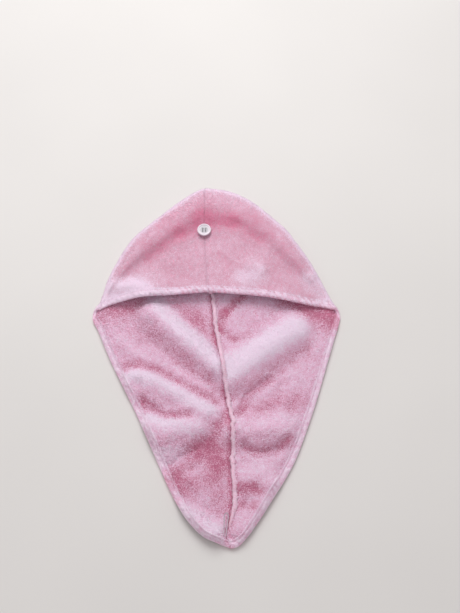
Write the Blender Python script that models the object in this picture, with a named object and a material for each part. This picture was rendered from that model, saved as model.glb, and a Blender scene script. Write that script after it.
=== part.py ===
"""Hair towel: two terry panels sewn along one centre seam and laid open, inside up, on a flat surface.

The crown is folded over towards the tail as a hood pocket, so each panel is one cloth wall that runs up the
back layer, round the crown's fold and down the flap to the hem. A button sits on the flap's seam and a thin
cord loop for it is sewn in at the tail's tip. +X is to the right, +Y towards the crown, +Z up.
"""

import math
from collections import namedtuple

import bmesh
import bpy
import numpy as np
from mathutils import Vector
from mathutils.bvhtree import BVHTree

# Sizes of the whole towel as it lies, in metres
TOWEL_WIDTH = 0.358  # from the left corner of the opening to the right one
TAIL_LENGTH = 0.332  # from the line between the corners down to the tail's tip
CROWN_RISE = 0.212  # from the same line up to the top of the crown's fold
HEM_LIFT = 0.031  # how far the flap's hem lies above that line at the seam

# Sizes of the cloth and its sewing
CLOTH_THICKNESS = 0.003
HEM_WIDTH = 0.012
HEM_THICKNESS = 0.0055
SEAM_WIDTH = 0.008
SEAM_THICKNESS = 0.0035
FOLD_HEIGHT = 0.014  # the tallest folds of the back layer
POCKET_HEIGHT = 0.022  # the most room between the back layer and the flap
CORNER_ROOM = 0.002  # between the two hems inside the fold of each corner
CORNER_SLANT = 0.008  # how far along the fold the opening's edge runs, each way, while it turns over
CLEARANCE = 0.0003

# Sizes of the button, its thread and its loop
BUTTON_DIAMETER = 0.0208
BUTTON_THICKNESS = 0.0036
BUTTON_RISE = 0.1352  # from the line between the corners up to the button's centre
HOLE_DIAMETER = 0.0023
HOLE_SPACING = 0.0042
THREAD_DIAMETER = 0.0014
SHANK_HEIGHT = 0.0008
SHANK_DIAMETER = 0.0086
LOOP_DIAMETER = 0.0015

# Room that the pieces need, worked out from the sizes above
HALF_WIDTH = TOWEL_WIDTH / 2
HEM_EXTRA = HEM_THICKNESS - CLOTH_THICKNESS
REST_GAP = 2 * (SEAM_THICKNESS + 2 * CLEARANCE)
CORNER_GAP = 2 * HEM_EXTRA + CORNER_ROOM
MIDDLE_SHIFT = (TAIL_LENGTH - CROWN_RISE) / 2
CORNER_OPENING = 0.45  # the share of the way from corner to seam over which the pocket opens fully
SEAM_PULL = 0.22  # the share of that way over which the fold turns square to the seam

# Resolution of the faceted solids
BACK_ROWS = 40
FOLD_ROWS = 5
FLAP_ROWS = 14
INNER_COLUMNS = 11
CURVE_STEPS = 12
BUTTON_SIDES = 36
HOLE_SIDES = 12

LEFT, RIGHT = -1, 1

# Points of the outline: across is a share of half the width, rise of the tail's length or the crown's rise
Point = namedtuple("Point", "across rise")
SIDE_EDGE = {
    LEFT: [
        Point(-0.135, -0.934),
        Point(-0.225, -0.877),
        Point(-0.318, -0.790),
        Point(-0.414, -0.681),
        Point(-0.616, -0.445),
        Point(-0.825, -0.222),
        Point(-0.945, -0.076),
        Point(-0.986, -0.036),
    ],
    RIGHT: [
        Point(0.262, -0.940),
        Point(0.343, -0.877),
        Point(0.435, -0.800),
        Point(0.528, -0.721),
        Point(0.624, -0.621),
        Point(0.768, -0.413),
        Point(0.922, -0.149),
        Point(0.976, -0.062),
    ],
}
TIP_EDGE = {
    LEFT: [Point(-0.135, -0.934), Point(-0.064, -0.963), Point(0.040, -0.985), Point(0.121, -1.0)],
    RIGHT: [Point(0.262, -0.940), Point(0.215, -0.970), Point(0.170, -0.992), Point(0.121, -1.0)],
}
TAIL_SEAM = [
    Point(0.121, -1.0),
    Point(0.088, -0.959),
    Point(0.103, -0.907),
    Point(0.138, -0.800),
    Point(0.118, -0.653),
    Point(0.124, -0.500),
    Point(0.075, -0.361),
    Point(0.031, -0.185),
    Point(-0.014, -0.048),
]
CROWN_SEAM = [Point(-0.037, 0.162), Point(-0.070, 0.550)]
FLAP_SEAM = [Point(-0.100, 0.764), Point(-0.106, 0.640), Point(-0.087, 0.383)]
CROWN_ARC = {
    LEFT: [
        Point(-1.0, 0.010),
        Point(-0.976, 0.060),
        Point(-0.938, 0.110),
        Point(-0.882, 0.281),
        Point(-0.756, 0.501),
        Point(-0.641, 0.630),
        Point(-0.483, 0.760),
        Point(-0.240, 0.934),
        Point(-0.107, 1.0),
    ],
    RIGHT: [
        Point(1.0, 0.012),
        Point(0.974, 0.060),
        Point(0.937, 0.111),
        Point(0.811, 0.337),
        Point(0.717, 0.473),
        Point(0.601, 0.630),
        Point(0.482, 0.740),
        Point(0.340, 0.851),
        Point(0.217, 0.924),
        Point(0.071, 0.976),
        Point(-0.107, 1.0),
    ],
}
# Points of the flap's hem: across as above, lift a share of the hem's lift at the seam
HemPoint = namedtuple("HemPoint", "across lift")
HEM_LINE = {
    LEFT: [
        HemPoint(-0.945, 0.27),
        HemPoint(-0.860, 0.48),
        HemPoint(-0.710, 0.64),
        HemPoint(-0.510, 0.77),
        HemPoint(-0.064, 1.0),
    ],
    RIGHT: [
        HemPoint(0.945, 0.28),
        HemPoint(0.860, 0.38),
        HemPoint(0.757, 0.43),
        HemPoint(0.560, 0.58),
        HemPoint(0.370, 0.77),
        HemPoint(-0.064, 1.0),
    ],
}

# Folds of the back layer, each a ridge along a line. Ends are shares of half the width and of the tail's
# length, the width is a share of half the towel's width and the height a share of FOLD_HEIGHT
Fold = namedtuple("Fold", "across_1 rise_1 across_2 rise_2 width height")
BACK_FOLDS = [
    Fold(-0.51, -0.01, -0.04, -0.23, 0.18, 1.00),
    Fold(-0.62, -0.31, -0.15, -0.38, 0.22, 0.60),
    Fold(-0.46, -0.55, -0.02, -0.49, 0.24, 0.95),
    Fold(-0.29, -0.86, -0.02, -0.955, 0.15, 0.75),
    Fold(0.12, -0.28, 0.60, -0.08, 0.22, 1.00),
    Fold(0.20, -0.53, 0.50, -0.52, 0.18, 0.85),
    Fold(0.24, -0.73, 0.36, -0.72, 0.15, 0.50),
    Fold(0.46, -0.78, 0.24, -0.94, 0.15, 0.60),
]

# Height of the pocket from the crown's fold to the hem, as shares of the room above its lowest gap
PocketRow = namedtuple("PocketRow", "along room")
POCKET_PROFILE = [
    PocketRow(0.00, 0.62),
    PocketRow(0.08, 0.92),
    PocketRow(0.20, 0.95),
    PocketRow(0.36, 0.35),
    PocketRow(0.52, 0.22),
    PocketRow(0.78, 0.36),
    PocketRow(1.00, 0.62),
]
# Swells and dents of the flap: places are shares of half the width and of the crown's rise, the width a
# share of half the towel's width and the height a share of the pocket's room
FLAP_FOLDS = [
    Fold(-0.104, 0.66, -0.104, 0.60, 0.20, -0.30),
    Fold(0.28, 0.30, 0.36, 0.38, 0.20, 0.28),
    Fold(0.72, 0.20, 0.86, 0.24, 0.18, 0.25),
    Fold(-0.86, 0.14, -0.55, 0.20, 0.20, 0.35),
]

# The loop's way from the hem at the tip up beside the seam and back: x and y in metres from the tail's tip
LOOP_ROUTE = [
    (-0.0074, 0.0140),
    (-0.0063, 0.0250),
    (-0.0050, 0.0350),
    (-0.0040, 0.0415),
    (-0.0063, 0.0462),
    (-0.0090, 0.0428),
    (-0.0093, 0.0360),
    (-0.0097, 0.0260),
    (-0.0103, 0.0150),
]
# How far from the tip the seam allowance starts, as a share of the tail's length
SEAM_START_RISE = -0.920

# Colours, as linear red, green and blue
INSIDE_PINK = (0.78, 0.36, 0.47)
SEAM_PINK = (0.84, 0.48, 0.57)
BUTTON_WHITE = (0.80, 0.68, 0.73)
THREAD_GREY = (0.50, 0.42, 0.47)
LOOP_LILAC = (0.56, 0.42, 0.50)


def clear_scene():
    """Empty the scene before the towel is made."""
    for old in list(bpy.data.objects):
        bpy.data.objects.remove(old, do_unlink=True)


def principled(name, colour, roughness):
    """A material with one Principled shader."""
    material = bpy.data.materials.new(name)
    material.use_nodes = True
    shader = material.node_tree.nodes["Principled BSDF"]
    shader.inputs["Base Color"].default_value = (*colour, 1.0)
    shader.inputs["Roughness"].default_value = roughness
    shader.inputs["Metallic"].default_value = 0.0
    return material


def finish(name, body, material):
    """Turn a bmesh into a smooth-shaded object with its faces pointing out."""
    bmesh.ops.recalc_face_normals(body, faces=body.faces)
    mesh = bpy.data.meshes.new(name)
    body.to_mesh(mesh)
    body.free()
    mesh.shade_smooth()
    mesh.set_sharp_from_angle(angle=math.radians(50))
    mesh.materials.append(material)
    made = bpy.data.objects.new(name, mesh)
    bpy.context.scene.collection.objects.link(made)
    return made


def smooth_step(value):
    """Rise smoothly from 0 to 1 as value goes from 0 to 1."""
    clamped = min(1.0, max(0.0, value))
    return clamped * clamped * (3 - 2 * clamped)


def smooth_curve(points):
    """A function that gives the point at a share of the length of a smooth curve through the points."""
    given = [np.array(point, float) for point in points]
    padded = [2 * given[0] - given[1], *given, 2 * given[-1] - given[-2]]
    line = [given[0]]
    for before, start, end, after in zip(padded, padded[1:], padded[2:], padded[3:]):
        for step in range(1, CURVE_STEPS + 1):
            u = step / CURVE_STEPS
            bend = 2 * before - 5 * start + 4 * end - after
            twist = 3 * start - before - 3 * end + after
            line.append((2 * start + (end - before) * u + bend * u**2 + twist * u**3) / 2)
    line = np.array(line)
    lengths = np.concatenate([[0.0], np.cumsum(np.linalg.norm(np.diff(line, axis=0), axis=1))])

    def at(share):
        where = share * lengths[-1]
        if where < 0:
            return line[0] + (line[1] - line[0]) * where / lengths[1]
        return np.array([np.interp(where, lengths, line[:, axis]) for axis in (0, 1)])

    at.length = lengths[-1]
    return at


def tail_point(point):
    """A table's point below the corners, in metres from the middle of the line between them."""
    return (point.across * HALF_WIDTH, point.rise * TAIL_LENGTH)


def crown_point(point):
    """A table's point above the corners, in metres from the middle of the line between them."""
    return (point.across * HALF_WIDTH, point.rise * CROWN_RISE)


def hem_point(point):
    """A point of the flap's hem, in metres from the middle of the line between the corners."""
    return (point.across * HALF_WIDTH, point.lift * HEM_LIFT)


def ridge(x, y, fold, rise_size):
    """The share of a fold's height that stands at x, y: full on its line and none beyond its width."""
    start = np.array((fold.across_1 * HALF_WIDTH, fold.rise_1 * rise_size))
    end = np.array((fold.across_2 * HALF_WIDTH, fold.rise_2 * rise_size))
    along = end - start
    share = np.dot(np.array((x, y)) - start, along) / np.dot(along, along)
    nearest = start + along * min(1.0, max(0.0, share))
    reach = math.hypot(x - nearest[0], y - nearest[1]) / (fold.width * HALF_WIDTH)
    return (1 - min(1.0, reach) ** 2) ** 2


def back_height(x, y):
    """Height of the back layer's underside above the surface it lies on."""
    return FOLD_HEIGHT * sum(fold.height * ridge(x, y, fold, TAIL_LENGTH) for fold in BACK_FOLDS)


def pocket_gap(x, y, column, along):
    """Room between the back layer and the flap, at a column and a share of the way from fold to hem."""
    rows = POCKET_PROFILE
    room = np.interp(along, [row.along for row in rows], [row.room for row in rows])
    room += sum(fold.height * ridge(x, y, fold, CROWN_RISE) for fold in FLAP_FOLDS)
    above_folds = (POCKET_HEIGHT - REST_GAP) * room - back_height(x, y)
    opened = REST_GAP + max(0.0, above_folds)
    return CORNER_GAP + (opened - CORNER_GAP) * smooth_step(column / CORNER_OPENING)


def crown_fold(side):
    """Functions of the column share: the plan point below the bend's centre, the inward direction there and
    the bend's radius at the middle of the wall. Turn is -1 where the back layer starts to bend over, 0 at
    the outline and 1 where the flap starts: near the corner the cloth's edge slants round the fold."""
    arc = smooth_curve([crown_point(point) for point in CROWN_ARC[side]])
    nudge = 0.004

    def radius(column):
        x, y = arc(column)
        return (CLOTH_THICKNESS + pocket_gap(x, y, column, 0.0)) / 2

    def inward(column):
        tangent = arc(min(1.0, column + nudge)) - arc(max(0.0, column - nudge))
        across = side * np.array((-tangent[1], tangent[0]))
        across /= np.linalg.norm(across)
        towards_seam = smooth_step((column - 1) / SEAM_PULL + 1)
        blended = across * (1 - towards_seam) + np.array((0.0, -1.0)) * towards_seam
        return blended / np.linalg.norm(blended)

    def centre(column, turn):
        slanted = column + turn * (1 - column) ** 2 * CORNER_SLANT / arc.length
        return arc(slanted) + inward(column) * (radius(column) + CLOTH_THICKNESS / 2)

    return centre, inward, radius


def patch(low, high, outer, inner):
    """A plan surface between four curves: low and high run across, outer and inner run along."""

    def at(column, row):
        between_sides = (1 - column) * outer(row) + column * inner(row)
        between_ends = (1 - row) * low(column) + row * high(column)
        corners = (1 - row) * ((1 - column) * low(0.0) + column * low(1.0))
        corners = corners + row * ((1 - column) * high(0.0) + column * high(1.0))
        return between_sides + between_ends - corners

    return at


def marked_shares(first_marks, last_marks, steps):
    """Shares from 0 to 1 with the given marks at both ends and even steps between them."""
    middle = np.linspace(first_marks[-1], last_marks[0], steps + 1)[1:-1]
    return [*first_marks, *middle, *last_marks]


def panel_plans(side):
    """The plan surfaces of a panel's back layer and flap, and its crown fold."""
    fold = crown_fold(side)

    def fold_start(column):
        return fold[0](column, -1)

    def fold_end(column):
        return fold[0](column, 1)

    side_points = [tail_point(point) for point in SIDE_EDGE[side]]
    seam_points = [tail_point(point) for point in TAIL_SEAM] + [crown_point(point) for point in CROWN_SEAM]
    flap_points = [crown_point(point) for point in FLAP_SEAM]
    hem_points = [hem_point(point) for point in HEM_LINE[side]]
    side_edge = smooth_curve([*side_points, fold_start(0.0)])
    back_seam = smooth_curve([*seam_points, fold_start(1.0)])
    tip_edge = smooth_curve([tail_point(point) for point in TIP_EDGE[side]])
    flap_corner = smooth_curve([fold_end(0.0), hem_points[0]])
    flap_seam = smooth_curve([fold_end(1.0), *flap_points, hem_points[-1]])
    hem_line = smooth_curve(hem_points)
    back = patch(tip_edge, fold_start, side_edge, back_seam)
    flap = patch(fold_end, hem_line, flap_corner, flap_seam)
    return back, flap, fold


def column_shares(plan, row):
    """Columns of a row: the hem's width at the outer edge, the seam allowance's width at the seam."""
    width = np.linalg.norm(plan(1.0, row) - plan(0.0, row))
    hem = HEM_WIDTH / width
    step = HEM_EXTRA / width
    allowance = SEAM_WIDTH / width
    first_marks = [0.0, hem, hem + step]
    last_marks = [1 - allowance, 1 - allowance / 2, 1.0]
    return marked_shares(first_marks, last_marks, INNER_COLUMNS)


def hem_shares(plan, column):
    """A hem's width and the end of its step along a column, as shares of the column's length."""
    length = np.linalg.norm(plan(column, 1.0) - plan(column, 0.0))
    hem = min(HEM_WIDTH / length, 0.5)
    return hem, hem * (1 + HEM_EXTRA / HEM_WIDTH)


# One place on the wall: the middle of the cloth, the direction to its outer face and how much thicker it is
WallPoint = namedtuple("WallPoint", "middle outward extra")


def back_rows(plan):
    """Rows of the back layer from the tail's tip up to the crown's fold."""
    rows = []
    count = BACK_ROWS + 3
    for row in range(count):
        nominal = min(1.0, max(0.0, (row - 1) / (count - 2)))
        shares = column_shares(plan, nominal)
        points = []
        for place, column in enumerate(shares):
            hem, step = hem_shares(plan, column)
            along = marked_shares([0.0, hem, step], [1.0], BACK_ROWS)[row]
            x, y = plan(column, along)
            height = back_height(x, y) + CLOTH_THICKNESS / 2
            extra = HEM_EXTRA if place < 2 or row < 2 else 0.0
            points.append(WallPoint(Vector((x, y, height)), Vector((0, 0, -1)), extra))
        rows.append(points)
    return rows


def fold_rows(plan, fold):
    """Rows of the half-round bend along the crown."""
    centre, inward, radius = fold
    shares = column_shares(plan, 1.0)
    rows = []
    for row in range(1, FOLD_ROWS + 1):
        angle = math.pi * (row / (FOLD_ROWS + 1) - 0.5)
        points = []
        for place, column in enumerate(shares):
            x, y = centre(column, math.sin(angle))
            out_x, out_y = -inward(column) * math.cos(angle)
            outward = Vector((out_x, out_y, math.sin(angle)))
            height = back_height(x, y) + CLOTH_THICKNESS / 2 + radius(column)
            extra = HEM_EXTRA if place < 2 else 0.0
            middle = Vector((x, y, height)) + outward * radius(column)
            points.append(WallPoint(middle, outward, extra))
        rows.append(points)
    return rows


def flap_rows(plan):
    """Rows of the flap from the crown's fold down to the flap's hem."""
    rows = []
    count = FLAP_ROWS + 3
    for row in range(count):
        nominal = min(1.0, row / (count - 2))
        shares = column_shares(plan, nominal)
        points = []
        for place, column in enumerate(shares):
            hem, step = hem_shares(plan, column)
            along = marked_shares([0.0], [1 - step, 1 - hem, 1.0], FLAP_ROWS)[row]
            x, y = plan(column, along)
            below = back_height(x, y) + CLOTH_THICKNESS
            gap = pocket_gap(x, y, column, along)
            height = below + gap + CLOTH_THICKNESS / 2
            extra = HEM_EXTRA if place < 2 or row > count - 3 else 0.0
            points.append(WallPoint(Vector((x, y, height)), Vector((0, 0, 1)), extra))
        rows.append(points)
    return rows


def placed(point, side):
    """Move a point to the row's origin and clear of the seam's middle plane."""
    return point + Vector((side * CLEARANCE / 2, MIDDLE_SHIFT, 0))


def closed_wall(first_face, second_face):
    """A closed body between two grids of points of the same size, each cell split along its level."""
    body = bmesh.new()
    grids = [[[body.verts.new(point) for point in row] for row in face] for face in (first_face, second_face)]
    last_row = len(first_face) - 1
    last_column = len(first_face[0]) - 1

    def quad(a, b, c, d):
        if abs(a.co.z - c.co.z) > abs(b.co.z - d.co.z):
            a, b, c, d = b, c, d, a
        body.faces.new((a, b, c))
        body.faces.new((a, c, d))

    for grid in grids:
        for row in range(last_row):
            for column in range(last_column):
                here, above = grid[row], grid[row + 1]
                quad(here[column], here[column + 1], above[column + 1], above[column])
    first, second = grids
    for row in range(last_row):
        for column in (0, last_column):
            quad(first[row][column], first[row + 1][column], second[row + 1][column], second[row][column])
    for column in range(last_column):
        for row in (0, last_row):
            quad(first[row][column], first[row][column + 1], second[row][column + 1], second[row][column])
    return body


def wall_rows(side):
    """All rows of a panel's wall, from the tail's tip to the flap's hem."""
    back, flap, fold = panel_plans(side)
    return back_rows(back) + fold_rows(back, fold) + flap_rows(flap)


def inner_point(wall_point, side, lift=0.0):
    """A point on the inner face of the wall, or lifted off it into the pocket's side."""
    depth = CLOTH_THICKNESS / 2 + wall_point.extra + lift
    return placed(wall_point.middle - wall_point.outward * depth, side)


def make_panel(name, side, material):
    """One terry panel as a closed wall with thicker hems."""
    rows = wall_rows(side)
    outer = [[placed(p.middle + p.outward * CLOTH_THICKNESS / 2, side) for p in row] for row in rows]
    inner = [[inner_point(p, side) for p in row] for row in rows]
    return finish(name, closed_wall(outer, inner), material)


def make_seam_allowance(material):
    """The sewn edges of both panels, lying over to the right on the inside along the whole seam."""
    thickness_shares = (0.55, 1.0, 0.9)
    rows = wall_rows(RIGHT)
    start = SEAM_START_RISE * TAIL_LENGTH
    held = [row for row in rows if row[-1].extra == 0.0 and row[-1].middle.y > start]
    under, over = [], []
    for row in held:
        edge = row[-3:]
        under.append([inner_point(p, RIGHT, CLEARANCE) for p in edge])
        lifts = [CLEARANCE + SEAM_THICKNESS * share for share in thickness_shares]
        over.append([inner_point(p, RIGHT, lift) for p, lift in zip(edge, lifts)])
    return finish("seam_allowance", closed_wall(under, over), material)


def turned(profile, sides):
    """A closed turned body: the profile's radii and heights run from the axis below to the axis above."""
    body = bmesh.new()
    rings = []
    for radius, height in profile[1:-1]:
        angles = [2 * math.pi * side / sides for side in range(sides)]
        rings.append([body.verts.new((radius * math.cos(a), radius * math.sin(a), height)) for a in angles])
    bottom = body.verts.new((0, 0, profile[0][1]))
    top = body.verts.new((0, 0, profile[-1][1]))
    for side in range(sides):
        following = (side + 1) % sides
        body.faces.new((bottom, rings[0][following], rings[0][side]))
        body.faces.new((top, rings[-1][side], rings[-1][following]))
        for lower, upper in zip(rings, rings[1:]):
            body.faces.new((lower[side], lower[following], upper[following], upper[side]))
    return body


def hidden_tool(name, body, location):
    """A body that only cuts or joins another one."""
    mesh = bpy.data.meshes.new(name)
    bmesh.ops.recalc_face_normals(body, faces=body.faces)
    body.to_mesh(mesh)
    body.free()
    tool = bpy.data.objects.new(name, mesh)
    tool.location = location
    tool.hide_render = True
    tool.display_type = "WIRE"
    bpy.context.scene.collection.objects.link(tool)
    return tool


def boolean(target, tool, operation):
    """Cut or join a hidden tool with a Boolean modifier."""
    modifier = target.modifiers.new(tool.name, "BOOLEAN")
    modifier.operation = operation
    modifier.solver = "EXACT"
    modifier.object = tool


def rod(radius, bottom, top, sides):
    """An upright round rod."""
    return turned([(0, bottom), (radius, bottom), (radius, top), (0, top)], sides)


def bar(length, width, bottom, top):
    """A bar along Y with square edges."""
    body = bmesh.new()
    bmesh.ops.create_cube(body, size=1.0)
    for vert in body.verts:
        vert.co.x *= width
        vert.co.y *= length
        vert.co.z = bottom if vert.co.z < 0 else top
    return body


def hole_places():
    """Centres of the button's four holes about its own centre."""
    half = HOLE_SPACING / 2
    return [(x, y) for x in (-half, half) for y in (-half, half)]


def surface_trees(objects):
    """Search trees of the objects' faces."""
    trees = []
    for thing in objects:
        mesh = thing.data
        corners = [vertex.co for vertex in mesh.vertices]
        trees.append(BVHTree.FromPolygons(corners, [face.vertices for face in mesh.polygons]))
    return trees


def highest_under(trees, x, y, radius):
    """The highest point of the surfaces under a round footprint."""
    places = [(x, y)]
    for ring in (0.5, 1.0):
        for turn in range(16):
            angle = math.pi * turn / 8
            places.append((x + radius * ring * math.cos(angle), y + radius * ring * math.sin(angle)))
    sky = FOLD_HEIGHT * len(BACK_FOLDS) + POCKET_HEIGHT
    down = Vector((0, 0, -1))
    hits = [tree.ray_cast(Vector((px, py, sky)), down)[0] for px, py in places for tree in trees]
    return max(hit.z for hit in hits if hit is not None)


def seam_across(side_plan, rise):
    """Where the flap's seam lies at a height above the corners' line."""
    along = np.linspace(0.0, 1.0, 60)
    points = [side_plan(1.0, share) for share in along]
    order = sorted(points, key=lambda point: point[1])
    return float(np.interp(rise, [point[1] for point in order], [point[0] for point in order]))


def make_button(x, y, seat, material):
    """The four-hole button: a round rim, a dished middle and square-cut holes."""
    radius, height = BUTTON_DIAMETER / 2, BUTTON_THICKNESS
    profile = [
        (0, 0),
        (0.78 * radius, 0),
        (0.95 * radius, 0.22 * height),
        (radius, 0.52 * height),
        (0.97 * radius, 0.84 * height),
        (0.90 * radius, height),
        (0.80 * radius, 0.94 * height),
        (0.68 * radius, 0.62 * height),
        (0, 0.56 * height),
    ]
    button = finish("button", turned(profile, BUTTON_SIDES), material)
    button.location = (x, y, seat)
    for number, (hole_x, hole_y) in enumerate(hole_places(), 1):
        cutter = rod(HOLE_DIAMETER / 2, -height, 2 * height, HOLE_SIDES)
        tool = hidden_tool(f"hole_cutter_{number}", cutter, (x + hole_x, y + hole_y, seat))
        boolean(button, tool, "DIFFERENCE")
    return button


def make_button_thread(x, y, pad_bottom, seat, material):
    """The thread shank under the button with its four legs and the two stitches over the middle."""
    dish = seat + 0.60 * BUTTON_THICKNESS
    pad_top = seat - CLEARANCE
    stitch_bottom = dish + CLEARANCE
    stitch_top = stitch_bottom + THREAD_DIAMETER * 0.8
    middle = (pad_bottom + pad_top) / 2
    thread = finish("button_thread", rod(SHANK_DIAMETER / 2, pad_bottom, pad_top, HOLE_SIDES), material)
    thread.location = (x, y, 0)
    for number, (hole_x, hole_y) in enumerate(hole_places(), 1):
        leg = rod(THREAD_DIAMETER / 2, middle, stitch_bottom + THREAD_DIAMETER * 0.4, 8)
        tool = hidden_tool(f"thread_leg_{number}", leg, (x + hole_x, y + hole_y, 0))
        boolean(thread, tool, "UNION")
    for number, hole_x in enumerate((-HOLE_SPACING / 2, HOLE_SPACING / 2), 1):
        stitch = bar(HOLE_SPACING + THREAD_DIAMETER * 0.8, THREAD_DIAMETER * 0.8, stitch_bottom, stitch_top)
        tool = hidden_tool(f"thread_stitch_{number}", stitch, (x + hole_x, y, 0))
        boolean(thread, tool, "UNION")
    return thread


def make_loop(trees, material):
    """The thin cord loop at the tip, lying on the cloth with both ends at the hem."""
    route = smooth_curve(LOOP_ROUTE)
    steps = 20
    tip_x, tip_y = tail_point(TAIL_SEAM[0])
    spots = [route(step / steps) for step in range(steps + 1)]
    spots = [(x + tip_x, y + tip_y + MIDDLE_SHIFT) for x, y in spots]
    radius = LOOP_DIAMETER / 2
    bare = [highest_under(trees, x, y, radius) for x, y in spots]
    widest = [max(bare[max(0, k - 1) : k + 2]) for k in range(steps + 1)]
    rests = [float(np.mean(widest[max(0, k - 1) : k + 2])) for k in range(steps + 1)]
    curve = bpy.data.curves.new("button_loop", "CURVE")
    curve.dimensions = "3D"
    curve.bevel_depth = radius
    curve.bevel_resolution = 2
    curve.use_fill_caps = True
    spline = curve.splines.new("POLY")
    spline.points.add(steps)
    for point, (x, y), rest in zip(spline.points, spots, rests):
        point.co = (x, y, rest + radius + CLEARANCE, 1.0)
    curve.materials.append(material)
    loop = bpy.data.objects.new("button_loop", curve)
    bpy.context.scene.collection.objects.link(loop)
    return loop


def main():
    """Make the whole towel."""
    clear_scene()
    terry = principled("pink_terry", INSIDE_PINK, 0.95)
    second_terry = principled("pink_terry_right", INSIDE_PINK, 0.95)
    left = make_panel("left_panel", LEFT, terry)
    right = make_panel("right_panel", RIGHT, second_terry)
    make_seam_allowance(principled("seam_terry", SEAM_PINK, 0.95))

    trees = surface_trees([left, right])
    flap = panel_plans(RIGHT)[1]
    x = seam_across(flap, BUTTON_RISE)
    y = BUTTON_RISE + MIDDLE_SHIFT
    pad_bottom = highest_under(trees, x, y, SHANK_DIAMETER / 2) + CLEARANCE
    rim_bottom = highest_under(trees, x, y, BUTTON_DIAMETER / 2) + CLEARANCE
    seat = max(rim_bottom, pad_bottom + SHANK_HEIGHT + CLEARANCE)
    make_button(x, y, seat, principled("button_plastic", BUTTON_WHITE, 0.35))
    make_button_thread(x, y, pad_bottom, seat, principled("sewing_thread", THREAD_GREY, 0.8))
    make_loop(trees, principled("loop_cord", LOOP_LILAC, 0.8))


main()
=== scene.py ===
"""Hair towel, laid open inside up with its crown folded over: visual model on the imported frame.

Each panel is one sheet of terry that runs from the tail's tip up the back layer, round the crown's fold and
down the flap to the hem. The surfaces are worked out from the same named sizes and tables as the solids, on
a finer grid, with rounded hems, stitch lines, small creases and loops of pile.
"""

import math
from collections import namedtuple

import bpy
import numpy as np
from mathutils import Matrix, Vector, noise


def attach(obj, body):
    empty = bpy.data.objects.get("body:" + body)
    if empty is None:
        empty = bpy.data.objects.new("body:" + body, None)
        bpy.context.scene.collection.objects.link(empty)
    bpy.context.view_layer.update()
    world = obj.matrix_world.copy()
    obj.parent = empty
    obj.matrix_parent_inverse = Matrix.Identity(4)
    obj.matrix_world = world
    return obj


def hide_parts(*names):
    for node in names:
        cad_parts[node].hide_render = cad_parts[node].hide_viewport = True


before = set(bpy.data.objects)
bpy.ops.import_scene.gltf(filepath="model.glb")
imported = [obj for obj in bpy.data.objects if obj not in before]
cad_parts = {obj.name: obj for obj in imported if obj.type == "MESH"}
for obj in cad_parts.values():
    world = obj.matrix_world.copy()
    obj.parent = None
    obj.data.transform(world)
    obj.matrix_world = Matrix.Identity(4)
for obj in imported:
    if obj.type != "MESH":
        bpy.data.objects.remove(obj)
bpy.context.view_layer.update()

# Sizes of the whole towel, in metres, as in the solids
TOWEL_WIDTH = 0.358
TAIL_LENGTH = 0.332
CROWN_RISE = 0.212
HEM_LIFT = 0.031
CLOTH_THICKNESS = 0.003
HEM_THICKNESS = 0.0055
SEAM_WIDTH = 0.008
SEAM_THICKNESS = 0.0035
FOLD_HEIGHT = 0.014
POCKET_HEIGHT = 0.022
CORNER_ROOM = 0.0012
CORNER_THINNING = 0.75  # the share of the hem's extra thickness that is pressed flat at the corners
CORNER_REACH = 0.045  # how far from the corner the hem is pressed flat
CORNER_SLANT = 0.008  # how far the fold's rows slant at the corner, which keeps its layers apart
CLEARANCE = 0.0003
DISH_RADIUS = 0.0066
BUTTON_DIAMETER = 0.0208
BUTTON_RISE = 0.1352
LOOP_DIAMETER = 0.0015
CORD_STEPS = 28

HALF_WIDTH = TOWEL_WIDTH / 2
HEM_EXTRA = HEM_THICKNESS - CLOTH_THICKNESS
REST_GAP = 2 * (SEAM_THICKNESS + 2 * CLEARANCE)
CORNER_GAP = 2 * HEM_EXTRA * (1 - CORNER_THINNING) + CORNER_ROOM
MIDDLE_SHIFT = (TAIL_LENGTH - CROWN_RISE) / 2
CORNER_OPENING = 0.45  # the share of the crown, from its corner, along which the pocket opens
SEAM_PULL = 0.22  # the share of the crown, up to the seam, along which its fold turns to face down the seam
SEAM_START_RISE = -0.920  # where the seam's allowance starts, as a share of the tail's length

# Sizes of the visible sewing, in metres
HEM_WIDTH = 0.0100
STITCH_LINE = 0.0080  # from the hem's edge to its line of stitches
STITCH_LENGTH = 0.0024
STITCH_PITCH = 0.0033
STITCH_DIAMETER = 0.0007
SEAM_STITCH_LENGTH = 0.0020
SEAM_STITCH_PITCH = 0.0058
OVERLOCK_PITCH = 0.0024
TUBE_SIDES = 5  # the sides of a stitch's thread
THREAD_TIP = 0.45  # how thick a stitch is at its ends, as a share of its middle
OVERLOCK_DIAMETER = 0.0008
OVERLOCK_CLEAR = 0.0002  # how far these threads' middles stand off the allowance

# Places across a hem and beside the seam where the grid has a column or row, in metres from the edge
HEM_MARKS = (
    0, 0.0003, 0.001, 0.002, 0.0034, 0.005, 0.0062, 0.0072, 0.008, 0.0088, 0.0095, 0.01, 0.0105, 0.0114,
)
SEAM_MARKS = (0.008, 0.006, 0.0044, 0.003, 0.0018, 0.0009, 0.0)

# Steps of the grid
TAIL_ROWS = 240
POCKET_ROWS = 46
FOLD_ROWS = 14
FLAP_ROWS = 112
COLUMNS = 76
CURVE_STEPS = 24
TAIL_SHARE = 0.74  # the share of the back layer, from the tip up, that has the fine rows

EDGE_BLEND = 0.010  # how near two hems' distances are where their join is rounded off
SEAM_TAPER = 0.024  # how far from its end the seam allowance gets thinner
SEAM_END = 0.45  # how wide and thick it is there, as a share
LEAST_SLANT = 0.55  # the least share of a slanting row's width that its hem is measured by
PINCH = 0.45  # the most of a short row or column that its hem takes

LEFT, RIGHT = -1, 1
UP = np.array((0.0, 0.0, 1.0))
SIDE_NAMES = {LEFT: "left", RIGHT: "right"}

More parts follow.
